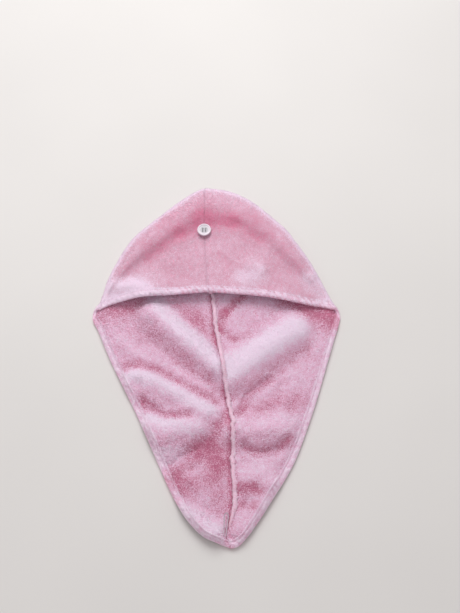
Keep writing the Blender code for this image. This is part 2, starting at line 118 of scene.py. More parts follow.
# Points of the outline: first a share of half the width, then one of the tail's length below the corners
# or of the crown's rise above them
SIDE_EDGE = {
    LEFT: [
        (-0.135, -0.934), (-0.225, -0.877), (-0.318, -0.790), (-0.414, -0.681), (-0.616, -0.445),
        (-0.825, -0.222), (-0.945, -0.076), (-0.986, -0.036),
    ],
    RIGHT: [
        (0.262, -0.940), (0.343, -0.877), (0.435, -0.800), (0.528, -0.721), (0.624, -0.621),
        (0.768, -0.413), (0.922, -0.149), (0.976, -0.062),
    ],
}
TIP_EDGE = {
    LEFT: [(-0.135, -0.934), (-0.064, -0.963), (0.040, -0.985), (0.121, -1.0)],
    RIGHT: [(0.262, -0.940), (0.215, -0.970), (0.170, -0.992), (0.121, -1.0)],
}
TAIL_SEAM = [
    (0.121, -1.0), (0.088, -0.959), (0.103, -0.907), (0.138, -0.800), (0.118, -0.653), (0.124, -0.500),
    (0.075, -0.361), (0.031, -0.185), (-0.014, -0.048),
]
CROWN_SEAM = [(-0.037, 0.162), (-0.070, 0.550)]
FLAP_SEAM = [(-0.100, 0.764), (-0.106, 0.640), (-0.087, 0.383)]
CROWN_ARC = {
    LEFT: [
        (-1.0, 0.010), (-0.976, 0.060), (-0.938, 0.110), (-0.882, 0.281), (-0.756, 0.501), (-0.641, 0.630),
        (-0.483, 0.760), (-0.240, 0.934), (-0.107, 1.0),
    ],
    RIGHT: [
        (1.0, 0.012), (0.974, 0.060), (0.937, 0.111), (0.811, 0.337), (0.717, 0.473), (0.601, 0.630),
        (0.482, 0.740), (0.340, 0.851), (0.217, 0.924), (0.071, 0.976), (-0.107, 1.0),
    ],
}
# The flap's hem: the second number is a share of HEM_LIFT
HEM_LINE = {
    LEFT: [
        (-0.945, 0.27), (-0.860, 0.48), (-0.710, 0.64), (-0.510, 0.77), (-0.064, 1.0),
    ],
    RIGHT: [
        (0.945, 0.28), (0.860, 0.38), (0.757, 0.43), (0.560, 0.58), (0.370, 0.77), (-0.064, 1.0),
    ],
}

# Folds of the back layer, each a ridge along a line. Ends are shares of half the width and of the tail's
# length, the width is a share of half the towel's width and the height a share of FOLD_HEIGHT
Fold = namedtuple("Fold", "across_1 rise_1 across_2 rise_2 width height")
BACK_FOLDS = [
    (-0.51, -0.01, -0.04, -0.23, 0.18, 1.00), (-0.62, -0.31, -0.15, -0.38, 0.22, 0.60),
    (-0.46, -0.55, -0.02, -0.49, 0.24, 0.95), (-0.29, -0.86, -0.02, -0.955, 0.15, 0.75),
    (0.12, -0.28, 0.60, -0.08, 0.22, 1.00), (0.20, -0.53, 0.50, -0.52, 0.18, 0.85),
    (0.24, -0.73, 0.36, -0.72, 0.15, 0.50), (0.46, -0.78, 0.24, -0.94, 0.15, 0.60),
]
# Small creases and swells of the back layer that the solids leave out, in the same shares
SMALL_FOLDS = [
    (-0.62, -0.322, -0.60, -0.326, 0.060, -0.25), (-0.36, -0.640, -0.12, -0.760, 0.080, 0.10),
    (0.22, -0.762, 0.30, -0.762, 0.060, -0.09), (0.22, -0.830, 0.26, -0.830, 0.060, -0.09),
    (0.60, -0.300, 0.50, -0.450, 0.090, 0.14), (-0.75, -0.120, -0.60, -0.220, 0.100, 0.16),
    (0.21, 0.090, 0.07, 0.010, 0.060, -0.14), (0.07, 0.010, 0.03, -0.060, 0.060, -0.16),
    (0.03, -0.060, 0.14, -0.115, 0.060, -0.14),
]

# Creases and swells that bend. The line and the width are in the shares of the back's folds, the height is a
# share of FOLD_HEIGHT and the tone is how much paler the cloth is painted there: painted highlight on the
# swells and painted shade in the creases
Crease = namedtuple("Crease", "width height tone line")
CREASES = [
    Crease(0.13, 0.06, 0.42, [(-0.49, 0.062), (-0.25, -0.091), (-0.016, -0.217)]),
    Crease(0.14, -0.05, -0.06, [(-0.55, -0.044), (-0.245, -0.217), (-0.014, -0.353)]),
    Crease(
        0.075, -0.26, -0.26,
        [(-0.71, -0.254), (-0.61, -0.231), (-0.48, -0.259), (-0.24, -0.335), (0.0, -0.411)],
    ),
    Crease(0.10, 0.18, 0.36, [(-0.67, -0.295), (-0.48, -0.308), (-0.24, -0.384), (-0.01, -0.463)]),
    Crease(0.065, -0.22, -0.24, [(-0.57, -0.402), (-0.39, -0.468), (-0.20, -0.463)]),
    Crease(0.10, 0.10, 0.30, [(-0.50, -0.476), (-0.33, -0.52), (-0.08, -0.528)]),
    Crease(0.12, -0.34, -0.34, [(0.05, -0.476), (-0.12, -0.605), (-0.35, -0.721)]),
    Crease(0.16, 0.06, 0.58, [(0.095, -0.272), (0.35, -0.176), (0.62, -0.088)]),
    Crease(0.06, -0.22, -0.22, [(0.17, -0.455), (0.27, -0.367), (0.42, -0.304)]),
    Crease(0.06, -0.20, -0.18, [(0.22, -0.592), (0.32, -0.626), (0.47, -0.605), (0.55, -0.562)]),
]

# Height of the pocket at shares of the way from the crown's fold to the hem, as shares of the room above
# its lowest gap
POCKET_PROFILE = [
    (0.00, 0.62), (0.08, 0.92), (0.20, 0.95), (0.36, 0.35), (0.52, 0.22), (0.78, 0.36), (1.00, 0.62),
]
# Shifts along the profile that round its corners off
PROFILE_BLUR = (-0.06, -0.036, -0.012, 0.012, 0.036, 0.06)
FLAP_FOLDS = [
    (-0.104, 0.66, -0.104, 0.60, 0.20, -0.30), (0.28, 0.30, 0.36, 0.38, 0.20, 0.28),
    (0.72, 0.20, 0.86, 0.24, 0.18, 0.25), (-0.86, 0.14, -0.55, 0.20, 0.20, 0.35),
]

# Creases and swells of the flap that the solids leave out: shares of half the width and of the crown's rise,
# with the height a share of FOLD_HEIGHT
SMALL_FLAP_FOLDS = [
    (-0.56, 0.40, -0.31, 0.60, 0.07, -0.10), (-0.31, 0.60, -0.10, 0.69, 0.07, -0.13),
    (-0.10, 0.69, 0.15, 0.68, 0.07, -0.14), (0.15, 0.68, 0.38, 0.56, 0.07, -0.11),
    (0.27, 0.36, 0.36, 0.33, 0.10, 0.16), (0.80, 0.27, 0.88, 0.26, 0.08, 0.13),
    (-0.92, 0.20, -0.70, 0.19, 0.10, 0.20), (-0.40, 0.30, -0.20, 0.24, 0.12, -0.08),
    (0.02, 0.42, 0.10, 0.36, 0.06, -0.08),
]
# Rolls along the tail's edge, in the shares of the back's folds
EDGE_FOLDS = [
    (-0.27, -0.85, -0.02, -0.955, 0.10, 0.22),
]

# The loop's way from the hem at the tip up beside the seam and back: x and y in metres from the tail's tip
LOOP_ROUTE = [
    (-0.0074, 0.0140), (-0.0063, 0.0250), (-0.0050, 0.0350), (-0.0040, 0.0415),
    (-0.0063, 0.0462), (-0.0090, 0.0428), (-0.0093, 0.0360), (-0.0097, 0.0260),
    (-0.0103, 0.0150),
]

# Strips of the inside painted deeper or paler: painted shade in valleys, hollows and under the flap's hem,
# and painted highlight on ridges and swells, in the shares of the back's folds; the height is how far the
# tone moves
SHADE_STRIPS = [
    (-0.42, 0.05, -0.17, -0.02, 0.18, -0.18), (-0.17, -0.02, -0.01, -0.13, 0.14, -0.15),
    (-0.97, 0.01, -0.62, 0.045, 0.18, -0.34), (0.21, 0.09, 0.07, 0.01, 0.07, -0.36),
    (0.07, 0.01, 0.03, -0.06, 0.07, -0.26), (0.03, -0.06, 0.14, -0.115, 0.07, -0.20),
    (0.14, -0.115, 0.26, -0.10, 0.06, -0.12), (0.55, 0.07, 0.90, 0.02, 0.10, -0.40),
    (0.78, 0.03, 0.96, -0.03, 0.18, -0.50), (-0.26, -0.76, -0.02, -0.66, 0.20, -0.34),
    (-0.02, -0.62, 0.04, -0.84, 0.14, -0.22), (-0.36, -0.63, -0.11, -0.69, 0.14, 0.25),
    (0.60, -0.40, 0.26, -0.45, 0.14, -0.22), (0.21, -0.765, 0.31, -0.772, 0.08, -0.34),
    (0.20, -0.832, 0.28, -0.838, 0.06, -0.30), (-0.22, -0.87, 0.05, -0.96, 0.10, 0.25),
]
# The same for the flap, in the shares of its creases
FLAP_SHADE_STRIPS = [
    (-0.72, 0.50, -0.42, 0.70, 0.14, -0.08), (-0.42, 0.70, -0.10, 0.82, 0.14, -0.08),
    (-0.10, 0.82, 0.30, 0.72, 0.14, -0.08), (0.30, 0.72, 0.66, 0.42, 0.14, -0.08),
    (-0.56, 0.42, -0.31, 0.60, 0.10, -0.16), (-0.31, 0.60, -0.12, 0.72, 0.12, -0.24),
    (-0.12, 0.72, 0.12, 0.70, 0.12, -0.28), (0.12, 0.70, 0.36, 0.56, 0.10, -0.15),
    (0.22, 0.25, 0.34, 0.28, 0.14, 0.30), (0.76, 0.24, 0.90, 0.12, 0.12, 0.34),
    (-0.96, 0.13, -0.66, 0.16, 0.20, 0.50), (-0.66, 0.16, -0.35, 0.12, 0.10, 0.25),
]

# The pile's loops in metres: from one to the next, their width and height, and their random places' seed
Pile = namedtuple("Pile", "pitch size height seed")
INSIDE_PILE = Pile(0.00146, 0.0019, 0.0011, 7)
OUTSIDE_PILE = Pile(0.00116, 0.0013, 0.0006, 17)
HEM_PILE = Pile(0.00135, 0.0019 * 0.85, 0.0011 * 0.85, 27)
SEAM_PILE = Pile(0.00120, 0.0013, 0.0006, 37)
LOOP_LEAN = 0.35  # how far a loop leans over, as a share of its height
LOOP_YARN = 0.27  # half the yarn's width, as a share of the loop's
LOOP_ROOT = 0.35  # how deep its ends stand in the cloth, as a share of its height
LOOP_PATTERN = 0.8  # the pattern between the loops, as a share of a loop's width

# Colours, as linear red, green and blue: the terry's from deep to pale, its deep end standing for painted
# shade and its pale end for painted highlight, the threads' from dark to pale
INSIDE_COLOURS = ((0.66, 0.20, 0.33), (0.92, 0.60, 0.78), (0.98, 0.84, 0.97))
OUTSIDE_COLOURS = ((0.80, 0.27, 0.42), (0.78, 0.46, 0.59), (0.96, 0.80, 0.94))
HEM_COLOURS = ((0.82, 0.40, 0.55), (0.93, 0.65, 0.82), (0.99, 0.84, 0.96))
SEAM_COLOURS = ((0.86, 0.43, 0.56), (0.96, 0.65, 0.80), (0.99, 0.85, 0.95))
OVERLOCK_COLOURS = SEAM_COLOURS[1:]
HEM_STITCH_COLOURS = ((0.86, 0.48, 0.62), (0.96, 0.65, 0.80))
SEAM_STITCH_COLOURS = ((0.50, 0.20, 0.30), (0.86, 0.48, 0.62))
THREAD_COLOURS = ((0.20, 0.20, 0.21), (0.36, 0.36, 0.38))
LOOP_COLOURS = ((0.50, 0.36, 0.45), (0.70, 0.58, 0.66))
# The button's: painted shade in its dish, then the plastic's pale colour on its rim
BUTTON_SHADED_DISH_COLOURS = ((0.40, 0.37, 0.41), (0.78, 0.70, 0.77))
FLOOR_PALE = (0.70, 0.68, 0.66)


def smooth_step(value):
    """Rise smoothly from 0 to 1 as value goes from 0 to 1."""
    clamped = np.clip(value, 0.0, 1.0)
    return clamped * clamped * (3 - 2 * clamped)


def bell(distance, width):
    """A smooth bump: 1 at no distance, and near 0 beyond twice the width."""
    return np.exp(-((distance / width) ** 2))


def unit(vectors):
    """Vectors of length 1 in the same directions."""
    return vectors / np.maximum(np.linalg.norm(vectors, axis=-1, keepdims=True), 1e-12)


def sizes_of(vectors):
    """The lengths of vectors."""
    return np.linalg.norm(vectors, axis=-1)


def run_lengths(points):
    """How far along a line of points each of them lies."""
    return np.concatenate([[0.0], np.cumsum(sizes_of(np.diff(points, axis=0)))])


def read_off(where, lengths, values):
    """Points or directions along a line, read off at given lengths."""
    return np.stack([np.interp(where, lengths, column) for column in values.T], axis=-1)


def smooth_curve(points):
    """A function that gives the points at shares of the length of a smooth curve through the points."""
    given = np.array(points, float)
    padded = np.vstack([2 * given[:1] - given[1:2], given, 2 * given[-1:] - given[-2:-1]])
    u = (np.arange(CURVE_STEPS) + 1)[:, None] / CURVE_STEPS
    parts = [given[:1]]
    for before, start, end, after in zip(padded, padded[1:], padded[2:], padded[3:]):
        bend = 2 * before - 5 * start + 4 * end - after
        twist = 3 * start - before - 3 * end + after
        parts.append((2 * start + (end - before) * u + bend * u**2 + twist * u**3) / 2)
    line = np.vstack(parts)
    lengths = run_lengths(line)

    def at(share):
        where = np.asarray(share, float) * lengths[-1]
        before = (line[1] - line[0]) / lengths[1] * np.minimum(where, 0.0)[..., None]
        return read_off(where, lengths, line) + before

    at.length = lengths[-1]
    return at


def plan_points(pairs, rise_size):
    """A table's points in metres from the middle of the line between the corners."""
    return [(across * HALF_WIDTH, rise * rise_size) for across, rise in pairs]


def ridge(plan, fold, rise_size):
    """The share of a fold's height at plan points: full on its line and none beyond its width."""
    start = np.array((fold.across_1 * HALF_WIDTH, fold.rise_1 * rise_size))
    end = np.array((fold.across_2 * HALF_WIDTH, fold.rise_2 * rise_size))
    along = end - start
    share = np.clip((plan - start) @ along / (along @ along), 0.0, 1.0)
    reach = sizes_of(plan - start - share[..., None] * along) / (fold.width * HALF_WIDTH)
    return (1 - np.minimum(1.0, reach) ** 2) ** 2


def folded(plan, folds, rise_size):
    """The sum of folds at plan points, each with its height."""
    return sum(fold.height * ridge(plan, fold, rise_size) for fold in (Fold(*row) for row in folds))


def crease_share(plan, crease):
    """The share of a bent crease's height that stands at plan points."""
    parts = []
    for start, end in zip(crease.line, crease.line[1:]):
        parts.append(ridge(plan, Fold(*start, *end, crease.width, 1.0), TAIL_LENGTH))
    return np.maximum.reduce(parts)


def back_height(plan):
    """Height of the back layer's underside above the surface it lies on, as in the solids."""
    return FOLD_HEIGHT * folded(plan, BACK_FOLDS, TAIL_LENGTH)


def pocket_gap(plan, column, along):
    """Room between the back layer and the flap, at a column and a share of the way from fold to hem."""
    places, rooms = zip(*POCKET_PROFILE)
    room = sum(np.interp(along + shift, places, rooms) for shift in PROFILE_BLUR) / len(PROFILE_BLUR)
    room = room + folded(plan, FLAP_FOLDS, CROWN_RISE)
    above_folds = (POCKET_HEIGHT - REST_GAP) * room - back_height(plan)
    opened = REST_GAP + np.maximum(0.0, above_folds)
    return CORNER_GAP + (opened - CORNER_GAP) * smooth_step(column / CORNER_OPENING)


def crown_fold(side):
    """Functions for the plan point below the bend's centre, the inward direction and the bend's radius."""
    arc = smooth_curve(plan_points(CROWN_ARC[side], CROWN_RISE))
    nudge = 0.004

    def radius(column):
        return (CLOTH_THICKNESS + pocket_gap(arc(column), column, 0.0)) / 2

    def inward(column):
        tangent = arc(np.minimum(1.0, column + nudge)) - arc(np.maximum(0.0, column - nudge))
        across = unit(side * np.stack([-tangent[..., 1], tangent[..., 0]], axis=-1))
        towards_seam = smooth_step((column - 1) / SEAM_PULL + 1)[..., None]
        return unit(across * (1 - towards_seam) + np.array((0.0, -1.0)) * towards_seam)

    def centre(column, turn):
        slanted = column + turn * (1 - column) ** 2 * CORNER_SLANT / arc.length
        return arc(slanted) + inward(column) * (radius(column) + CLOTH_THICKNESS / 2)[..., None]

    return centre, inward, radius


def patch(low, high, outer, inner):
    """A plan surface between four curves: low and high run across, outer and inner run along."""
    corners = [curve(np.array(share)) for curve in (low, high) for share in (0.0, 1.0)]

    def at(column, row):
        c, r = np.broadcast_arrays(np.asarray(column, float), np.asarray(row, float))
        across, along = c[..., None], r[..., None]
        between_sides = (1 - across) * outer(r) + across * inner(r)
        between_ends = (1 - along) * low(c) + along * high(c)
        at_low = (1 - across) * corners[0] + across * corners[1]
        at_high = (1 - across) * corners[2] + across * corners[3]
        return between_sides + between_ends - (1 - along) * at_low - along * at_high

    return at


def panel_plans(side):
    """The plan surfaces of a panel's back layer and flap, and its crown fold."""
    fold = crown_fold(side)

    def fold_start(column):
        return fold[0](column, -1)

    def fold_end(column):
        return fold[0](column, 1)

    side_points = plan_points(SIDE_EDGE[side], TAIL_LENGTH)
    seam_points = plan_points(TAIL_SEAM, TAIL_LENGTH) + plan_points(CROWN_SEAM, CROWN_RISE)
    flap_points = plan_points(FLAP_SEAM, CROWN_RISE)
    hem_points = plan_points(HEM_LINE[side], HEM_LIFT)
    at_hem, at_seam = np.array(0.0), np.array(1.0)
    side_edge = smooth_curve([*side_points, fold_start(at_hem)])
    back_seam = smooth_curve([*seam_points, fold_start(at_seam)])
    tip_edge = smooth_curve(plan_points(TIP_EDGE[side], TAIL_LENGTH))
    flap_corner = smooth_curve([fold_end(at_hem), hem_points[0]])
    flap_seam = smooth_curve([fold_end(at_seam), *flap_points, hem_points[-1]])
    hem_line = smooth_curve(hem_points)
    back = patch(tip_edge, fold_start, side_edge, back_seam)
    flap = patch(fold_end, hem_line, flap_corner, flap_seam)
    return back, flap, fold


def marked(first, last, steps):
    """Shares along the last axis: the given first and last marks with even steps between them."""
    start, stop = first[..., -1:], last[..., :1]
    between = np.linspace(0.0, 1.0, steps + 1)[1:-1]
    return np.concatenate([first, start + (stop - start) * between, last], axis=-1)


def column_shares(plan, rows):
    """Columns of each row as shares, their distance from the outer edge and from the seam, in metres."""
    nudge = 0.01
    outer, inner = plan(0.0, rows), plan(1.0, rows)
    across = inner - outer
    width = sizes_of(across)
    edge = plan(0.0, np.minimum(1.0, rows + nudge)) - plan(0.0, np.maximum(0.0, rows - nudge))
    turn = np.abs(across[:, 0] * edge[:, 1] - across[:, 1] * edge[:, 0])
    slant = np.clip(turn / (width * sizes_of(edge)), LEAST_SLANT, 1.0)
    real_width = width * slant
    squeeze = np.minimum(1.0, PINCH * real_width / HEM_MARKS[-1])
    hem = np.array(HEM_MARKS) * (squeeze / real_width)[:, None]
    seam = 1 - np.array(SEAM_MARKS) * (np.minimum(1.0, PINCH * width / SEAM_MARKS[0]) / width)[:, None]
    shares = marked(hem, seam, COLUMNS)
    return shares, shares * (real_width / squeeze)[:, None], (1 - shares) * width[:, None]


def nearer(first, second):
    """The lesser of two distances, rounded off where they are nearly the same."""
    blend = np.clip(0.5 + (second - first) / (2 * EDGE_BLEND), 0.0, 1.0)
    rounded = second + (first - second) * blend - EDGE_BLEND * blend * (1 - blend)
    return np.maximum(np.minimum(first, second) * 0.4, rounded)


def cloth_noise(points, size, seed):
    """Smooth noise from -1 to 1 at points of any shape, with one lump for each size."""
    places = points.reshape(-1, 3) / size + seed
    return np.array([noise.noise(place) for place in places]).reshape(points.shape[:-1])


def lumps(points, table):
    """Noise of several sizes, from rows of height, size in metres and seed."""
    return sum(height * cloth_noise(points, size, seed) for height, size, seed in table)


# The grid of one panel: the middle of the cloth, the direction to its outer face, distances from the nearest
# hem's edge and from the seam, the place in the plan, and the zone of each row
Grid = namedtuple("Grid", "middle outward edge seam plan zone")
BACK, FOLD, FLAP = 0, 1, 2


def joined(parts):
    """One grid from the grids of the zones, row after row."""
    return Grid(*[np.concatenate(arrays, axis=0) for arrays in zip(*parts)])


def lifted(plan, heights):
    """Points in space above plan points."""
    return np.concatenate([plan, heights[..., None]], axis=-1)


def back_grid(plan):
    """The back layer from the tail's tip up to the crown's fold."""
    count = len(HEM_MARKS) + TAIL_ROWS + POCKET_ROWS - 1
    rows = np.arange(count)
    nominal = np.linspace(0.0, 1.0, count)
    for _ in range(2):
        shares, side_distance, seam_distance = column_shares(plan, nominal)
        length = sizes_of(plan(shares, 1.0) - plan(shares, 0.0))
        hem = np.array(HEM_MARKS) / length[..., None]
        fine = marked(hem, np.full(length.shape + (1,), TAIL_SHARE), TAIL_ROWS)
        along = marked(fine, np.ones(length.shape + (1,)), POCKET_ROWS)[rows, :, rows]
        nominal = np.mean(along, axis=1)
    flat = plan(shares, along)
    middle = lifted(flat, back_height(flat) + CLOTH_THICKNESS / 2)
    outward = np.broadcast_to(np.array((0.0, 0.0, -1.0)), middle.shape)
    edge = nearer(side_distance, along * length)
    return Grid(middle, outward, edge, seam_distance, flat, np.full(edge.shape, BACK))


def fold_grid(plan, fold):
    """The half-round bend along the crown."""
    centre, inward, radius = fold
    shares, side_distance, seam_distance = [a[0] for a in column_shares(plan, np.array([1.0]))]
    angles = math.pi * (np.arange(1, FOLD_ROWS + 1) / (FOLD_ROWS + 1) - 0.5)
    parts = []
    for angle in angles:
        flat = centre(shares, math.sin(angle))
        direction = lifted(-inward(shares) * math.cos(angle), np.full(shares.shape, math.sin(angle)))
        height = back_height(flat) + CLOTH_THICKNESS / 2 + radius(shares)
        middle = lifted(flat, height) + direction * radius(shares)[:, None]
        zone = np.full(shares.shape, FOLD)
        parts.append(Grid(*[a[None] for a in (middle, direction, side_distance, seam_distance, flat, zone)]))
    return joined(parts)


def flap_grid(plan):
    """The flap from the crown's fold down to its hem."""
    count = len(HEM_MARKS) + FLAP_ROWS
    rows = np.arange(count)
    nominal = np.linspace(0.0, 1.0, count)
    shares, side_distance, seam_distance = column_shares(plan, nominal)
    length = sizes_of(plan(shares, 1.0) - plan(shares, 0.0))
    pinch = np.minimum(1.0, PINCH * length / HEM_MARKS[-1])
    hem = 1 - np.array(HEM_MARKS[::-1]) * (pinch / length)[..., None]
    ladder = marked(np.zeros(length.shape + (1,)), hem, FLAP_ROWS)
    along = ladder[rows, :, rows]
    flat = plan(shares, along)
    gap = pocket_gap(flat, shares, along)
    middle = lifted(flat, back_height(flat) + CLOTH_THICKNESS * 1.5 + gap)
    outward = np.broadcast_to(UP, middle.shape)
    edge = np.minimum(side_distance, (1 - along) * length / pinch)
    return Grid(middle, outward, edge, seam_distance, flat, np.full(edge.shape, FLAP))


def panel_grid(side):
    """The whole grid of one panel, in the row's frame."""
    back, flap, fold = panel_plans(side)
    grid = joined([back_grid(back), fold_grid(back, fold), flap_grid(flap)])
    shift = np.array((side * CLEARANCE / 2, MIDDLE_SHIFT, 0.0))
    return grid._replace(middle=grid.middle + shift)


def grid_normals(points):
    """Unit normals of a grid of points, by its rows and columns."""
    along = np.gradient(points, axis=0)
    across = np.gradient(points, axis=1)
    return unit(np.cross(along, across))


WALL_THICKNESS = 0.0026
HEM_SWELL = 0.0013  # how far the hem swells between its edge and its stitches
HEM_STEP = 0.0009  # the width of the step down from the hem to the cloth
GROOVE_WIDTH = 0.0010  # half the width of the dent along the hem's stitches
HEM_GROOVE = 0.0012  # that dent's depth in the tail's hem
FLAP_GROOVE = 0.0005  # and in the flap's
SEAM_GROOVE = 0.0014  # the dent beside the seam's allowance: its depth and half its width
SEAM_GROOVE_WIDTH = 0.0030
FLAP_VALLEY = 0.0012  # the dent along the flap's seam: its depth and half its width
FLAP_VALLEY_WIDTH = 0.0022
SEAM_SHADE = 0.45  # painted shadow beside the seam: how much darker it is painted, and how far out
SEAM_SHADE_WIDTH = 0.0055
HEM_HIGHLIGHT = 0.22  # painted highlight: how much paler the hem is painted, by itself and on its puckers and beads
PUCKER_HIGHLIGHT = 0.30
BEAD_HIGHLIGHT = 0.20
# painted shade in the dent along the hem's stitches
GROOVE_SHADE = 0.25
SOFT_HEIGHT = 0.0016  # the mean height of the back layer's soft swells
# Lumps of the surface, and random patches of tone: height, size in metres and seed
SOFT_LUMPS = [(0.0009, 0.022, 23.0), (0.0004, 0.011, 31.0)]
INSIDE_LUMPS = [(0.00045, 0.0042, 41.0), (0.0005, 0.0090, 43.0)]
FLAP_LUMPS = [(0.00018, 0.0036, 47.0), (0.00022, 0.0075, 49.0)]
TONE_LUMPS = [(0.07, 0.020, 71.0), (0.12, 0.007, 73.0)]
BEAD_PITCH = 0.0078  # from one pucker of the flap's hem to the next
BEAD_SLANT = 0.7
EDGE_SETTLING = 0.8  # the share of a fold's height that is gone where it runs out at the tail's edge
SLOPE_HIGHLIGHT = 0.26  # painted highlight: how much paler slopes facing the crown, and the light beyond it, are painted
HOLLOW_SHADE = 0.18  # painted shade: how much darker hollows are painted


def evened(values, times):
    """A grid of values with each one moved towards its neighbours, the given number of times."""
    for _ in range(times):
        padded = np.pad(values, 1, mode="edge")
        values = (padded[:-2, 1:-1] + padded[2:, 1:-1] + padded[1:-1, :-2] + padded[1:-1, 2:]) / 4
    return values


def wall_faces(grid, side):
    """Outer and inner faces of a panel's cloth as grids of points, and its painted shade, highlight and
    tone.
    """
    edge, seam = grid.edge, grid.seam
    on_back = np.where(grid.zone == BACK, 1.0, 0.0)
    on_flap = 1 - on_back
    corner = np.array((side * HALF_WIDTH, 0.0))
    from_corner = sizes_of(grid.plan - corner)
    pressed = CORNER_THINNING * (1 - smooth_step(from_corner / CORNER_REACH))
    in_hem = (1 - smooth_step((edge - HEM_WIDTH) / HEM_STEP)) * (1 - pressed)
    hem_round = np.sqrt(np.maximum(0.02, 1 - (1 - np.minimum(1.0, edge / (HEM_THICKNESS / 2))) ** 2))
    groove = bell(edge - STITCH_LINE, GROOVE_WIDTH)
    swell = smooth_step(edge / 0.003) * (1 - smooth_step((edge - 0.005) / 0.003))
    pucker = cloth_noise(grid.middle, 0.0052, 5.0)

    slant = (grid.plan[..., 0] + BEAD_SLANT * edge) / BEAD_PITCH
    slant = slant + 0.6 * cloth_noise(grid.middle, 0.018, 57.0)
    beads = np.where(grid.zone == FLAP, np.sin(2 * math.pi * slant), 0.0)
    puffed = 0.7 + 2.4 * pucker + 0.8 * beads
    thick = WALL_THICKNESS + HEM_EXTRA * in_hem + HEM_SWELL * swell * puffed * (1 - pressed)
    half = thick / 2 * hem_round
    centre = grid.middle - grid.outward * (HEM_EXTRA * in_hem / 2)[..., None]

    inside = smooth_step((edge - 0.006) / 0.015) * smooth_step(seam / 0.010)
    bent = [crease_share(grid.plan, crease) for crease in CREASES]
    small = folded(grid.plan, SMALL_FOLDS, TAIL_LENGTH)
    small = (small + sum(crease.height * share for crease, share in zip(CREASES, bent))) * inside
    rolls = folded(grid.plan, EDGE_FOLDS, TAIL_LENGTH)
    puff = SOFT_HEIGHT * (1 + cloth_noise(grid.middle, 0.034, 11.0)) * inside
    settled = EDGE_SETTLING * back_height(grid.plan) * (1 - smooth_step(edge / 0.011))
    back_lift = FOLD_HEIGHT * (small + rolls) + puff - settled
    back_lift = np.maximum(back_lift, CLOTH_THICKNESS / 2 - grid.middle[..., 2])
    button = np.array((seam_across(BUTTON_RISE), BUTTON_RISE))
    near_button = bell(sizes_of(grid.plan - button), BUTTON_DIAMETER * 0.9)
    calm = inside * (1 - near_button)
    flap_small = folded(grid.plan, SMALL_FLAP_FOLDS, CROWN_RISE)
    flap_lift = np.where(grid.zone == FLAP, FOLD_HEIGHT * flap_small * calm, 0.0)
    soft = lumps(grid.middle, SOFT_LUMPS)
    lift = np.where(grid.zone == BACK, back_lift, flap_lift)
    raised = UP * lift[..., None]

    shape = grid.middle + raised - grid.outward * (on_back * half)[..., None]
    shape = shape + grid.outward * (on_flap * (half + soft * calm))[..., None]
    # Painted highlight on slopes that face the light beyond the crown, painted shade in hollows
    slope = grid_normals(shape)[..., 1] * side * np.where(grid.zone == BACK, 1.0, -1.0)
    hollow = evened(shape[..., 2], 30) - shape[..., 2]
    shade_and_tone = evened(0.5 + SLOPE_HIGHLIGHT * slope - HOLLOW_SHADE * np.clip(hollow / 0.003, -1.0, 1.0), 2)
    # Painted shade and highlight along strips and creases, on the back and on the flap
    strips = folded(grid.plan, SHADE_STRIPS, TAIL_LENGTH)
    strips = strips + sum(crease.tone * share for crease, share in zip(CREASES, bent))
    flap_strips = folded(grid.plan, FLAP_SHADE_STRIPS, CROWN_RISE)
    mottled = lumps(grid.middle, TONE_LUMPS)
    # Painted shadow beside the seam, stronger on the left panel
    shaded = SEAM_SHADE * bell(seam, SEAM_SHADE_WIDTH) * on_back * (1.0 if side == LEFT else 0.5)
    # Painted highlight on the hem, its puckers and its beads, and painted shade in the dent along its
    # stitches
    banded = (HEM_HIGHLIGHT + PUCKER_HIGHLIGHT * pucker + BEAD_HIGHLIGHT * beads) * in_hem * (grid.zone != FOLD)
    banded = banded - GROOVE_SHADE * groove * on_back
    # Painted highlight on the crown's fold where it turns away, kept off the corners
    rim_highlight = np.where(grid.zone == FOLD, 0.9 * (1 - np.clip(grid.outward[..., 2], 0.0, 1.0) ** 2), 0.0)
    rim_highlight = rim_highlight * smooth_step(from_corner / CORNER_REACH)
    mottled = mottled * np.where(grid.zone == BACK, 1.0, 0.5)
    shade_and_tone = shade_and_tone + np.where(grid.zone == BACK, strips, flap_strips) + mottled - shaded + banded + rim_highlight
    shade_and_tone = np.clip(shade_and_tone, 0.0, 1.0)

    clump = lumps(grid.middle, INSIDE_LUMPS)
    fine = lumps(grid.middle, FLAP_LUMPS)
    valley = bell(seam, FLAP_VALLEY_WIDTH)
    beside = bell(seam, SEAM_GROOVE_WIDTH) * (1.0 if side == LEFT else 0.3)

    flap_lumps = soft * calm + fine - FLAP_GROOVE * groove - FLAP_VALLEY * valley * (1 - near_button)
    outer_lift = half + on_flap * flap_lumps
    inner_lift = half + clump * (1 - 0.4 * in_hem) * on_back - HEM_GROOVE * groove
    inner_lift = inner_lift - SEAM_GROOVE * beside * on_back
    outer = centre + grid.outward * outer_lift[..., None] + raised
    inner = centre - grid.outward * inner_lift[..., None] + raised
    outer[..., 2] = np.maximum(outer[..., 2], 0.0)
    return outer, inner, shade_and_tone


def seam_across(rise):
    """Where the flap's seam lies at a height above the corners' line."""
    _, flap, _ = panel_plans(LEFT)
    points = flap(1.0, np.linspace(0.0, 1.0, 60))
    order = np.argsort(points[:, 1])
    return float(np.interp(rise, points[order, 1], points[order, 0]))


def mesh_object(name, vertices, faces, materials, face_slots=None):
    """An object from an array of vertices and an array or list of faces."""
    mesh = bpy.data.meshes.new(name)
    mesh.from_pydata(vertices.tolist(), [], faces if isinstance(faces, list) else faces.tolist())
    for material in materials:
        mesh.materials.append(material)
    if face_slots is not None:
        mesh.polygons.foreach_set("material_index", np.asarray(face_slots, np.int32))
    mesh.polygons.foreach_set("use_smooth", np.full(len(mesh.polygons), True))
    mesh.update()
    made = bpy.data.objects.new(name, mesh)
    bpy.context.scene.collection.objects.link(made)
    return made


